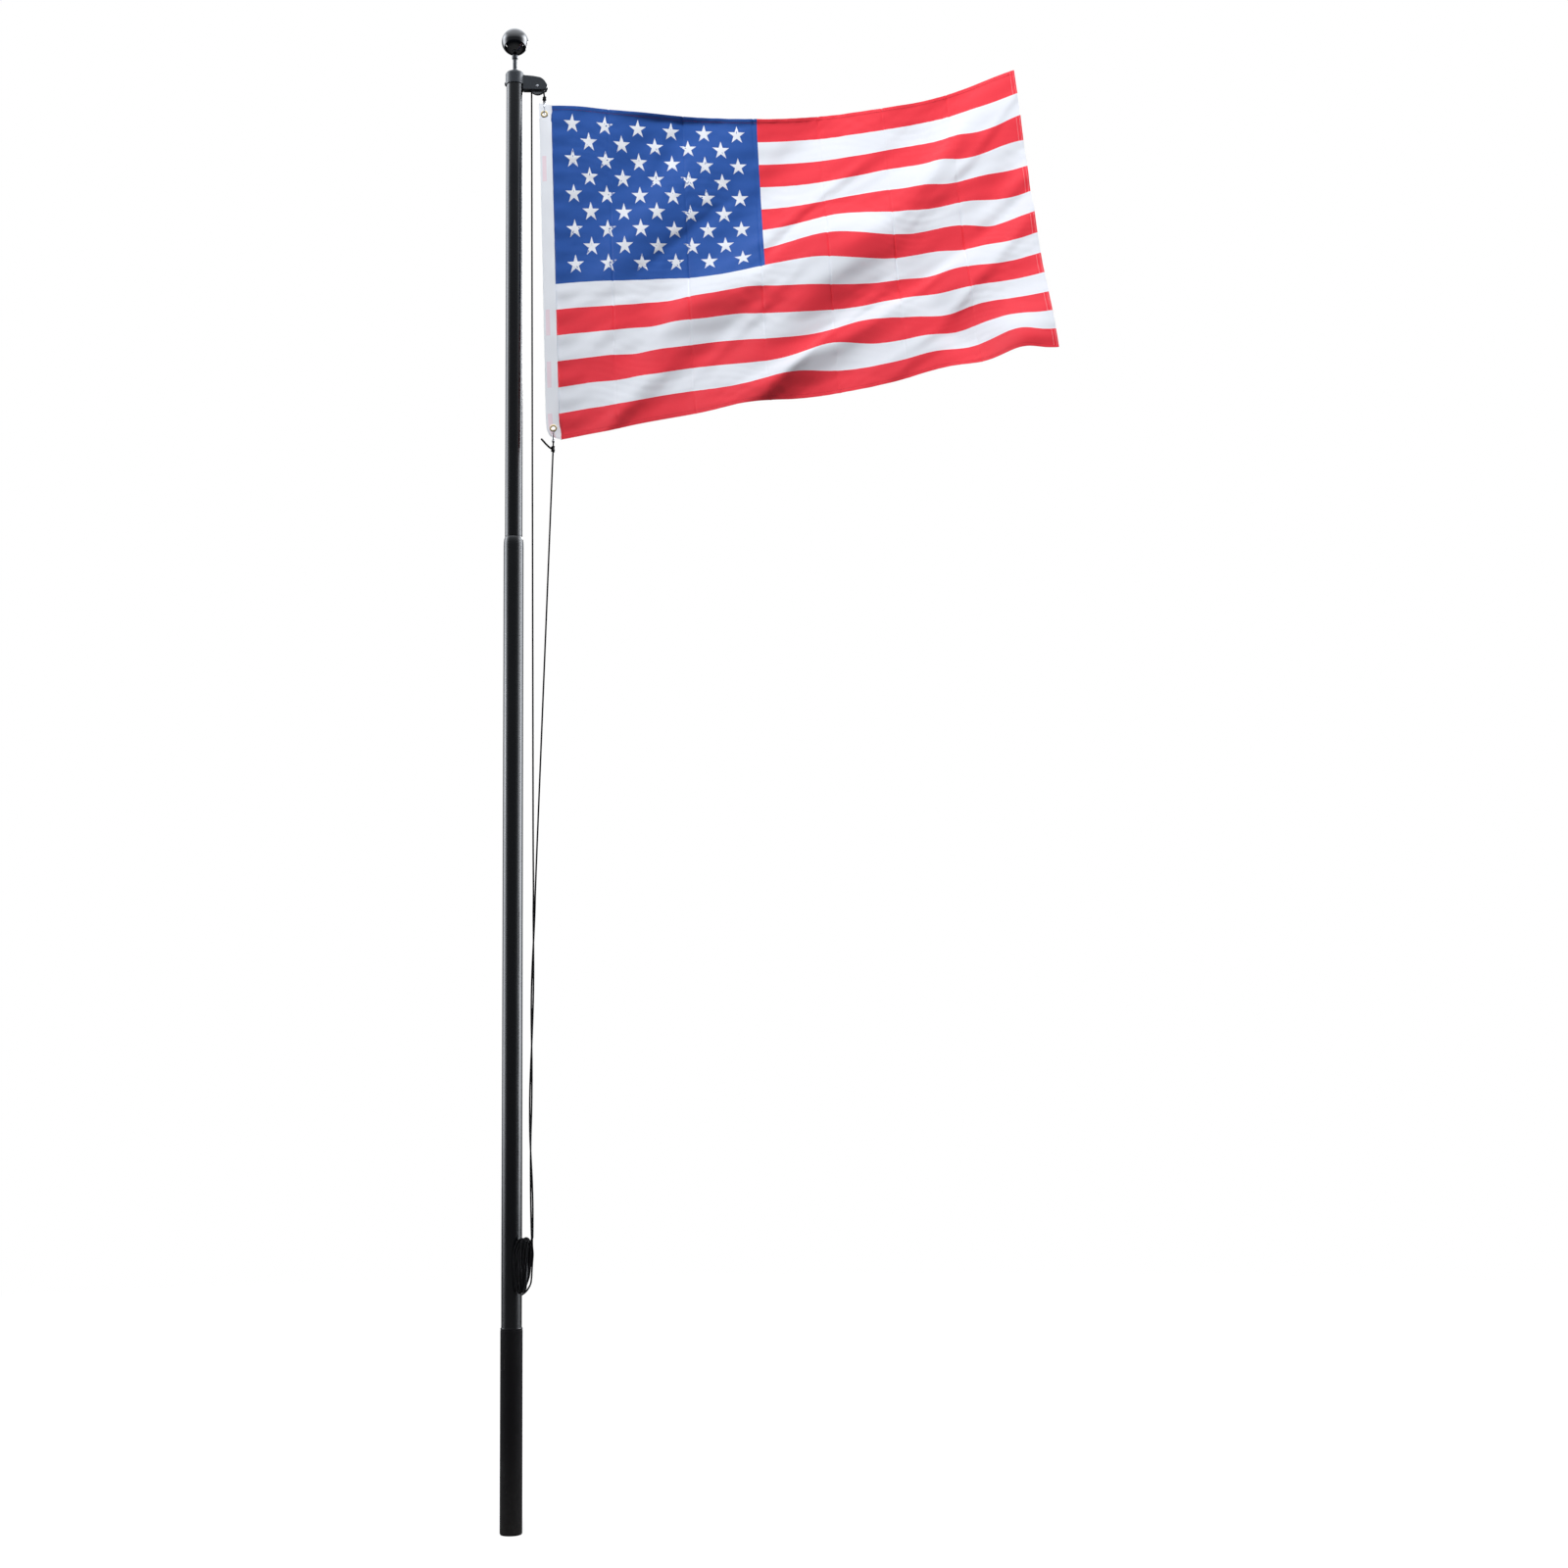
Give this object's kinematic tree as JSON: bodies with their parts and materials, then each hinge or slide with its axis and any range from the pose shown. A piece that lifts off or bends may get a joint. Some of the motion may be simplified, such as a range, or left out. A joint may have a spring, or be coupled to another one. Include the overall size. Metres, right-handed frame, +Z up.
{
  "type": "flagpole",
  "caption": "Two-section metal flagpole in a ground sleeve, with ball finial, pulley truck, rope halyard on a cleat and a hoisted 3 x 5 ft flag that slides up and down.",
  "frame": {"origin": "centre of the ground sleeve's flat foot, on the pole's axis", "axes": "+Z up along the pole, +X towards the truck's arm and the flag, -Y towards a viewer who sees the flag to the right of the pole"},
  "size_m": [1.354, 0.7706, 3.8435],
  "materials": {
    "sleeve_plastic": "matt black PVC",
    "black_enamel": "glossy black powder coat",
    "cast_black": "satin black coated casting",
    "dark_steel": "black oxide screws",
    "sheave_plastic": "dark grey moulded nylon",
    "bright_steel": "plated steel",
    "ball_lacquer": "high gloss black lacquer",
    "cleat_plastic": "black moulded nylon",
    "black_rope": "braided black polyester cord",
    "hook_metal": "nickel-plated zinc",
    "grommet_brass": "bright brass",
    "heading_canvas": "white sewn canvas",
    "flag_cloth": "printed polyester, red and white stripes, blue canton with white stars"
  },
  "bodies": {
    "pole": {"ground_sleeve": "sleeve_plastic", "lower_tube": "black_enamel", "upper_tube": "black_enamel", "truck_housing": "cast_black", "truck_set_screw": "dark_steel", "sheave_pin": "bright_steel", "finial_nut": "bright_steel", "finial_foot_ring": "dark_steel", "finial_stem": "cast_black", "finial_neck": "cast_black", "finial_ball": "ball_lacquer", "cleat": "cleat_plastic", "cleat_screw_upper": "dark_steel", "cleat_screw_lower": "dark_steel", "halyard_standing": "black_rope", "halyard_hank": "black_rope", "halyard_upper_strand": "black_rope", "halyard_right_fall": "black_rope"},
    "sheave": {"sheave": "sheave_plastic"},
    "flag": {"upper_knot": "black_rope", "lower_knot": "black_rope", "rope_tail": "black_rope", "snap_hook_upper": "hook_metal", "snap_hook_lower": "hook_metal", "swivel_eye_upper": "hook_metal", "swivel_eye_lower": "hook_metal", "grommet_upper": "grommet_brass", "grommet_lower": "grommet_brass", "flag_heading": "heading_canvas", "flag_field": "flag_cloth"}
  },
  "joints": [
    {"name": "flag_hoist", "type": "slide", "parent": "pole", "child": "flag", "axis": [0, 0, 1], "range_m": [-1.9, 0], "deforming": ["halyard_upper_strand", "halyard_right_fall"]},
    {"name": "sheave_spin", "type": "hinge", "parent": "pole", "child": "sheave", "pos_m": [0.06, 0, 3.682], "axis": [0, 1, 0], "continuous": true}
  ],
  "couplings": [
    {"joint": "sheave_spin", "follows": "flag_hoist", "rad_per_m": -62.5}
  ]
}
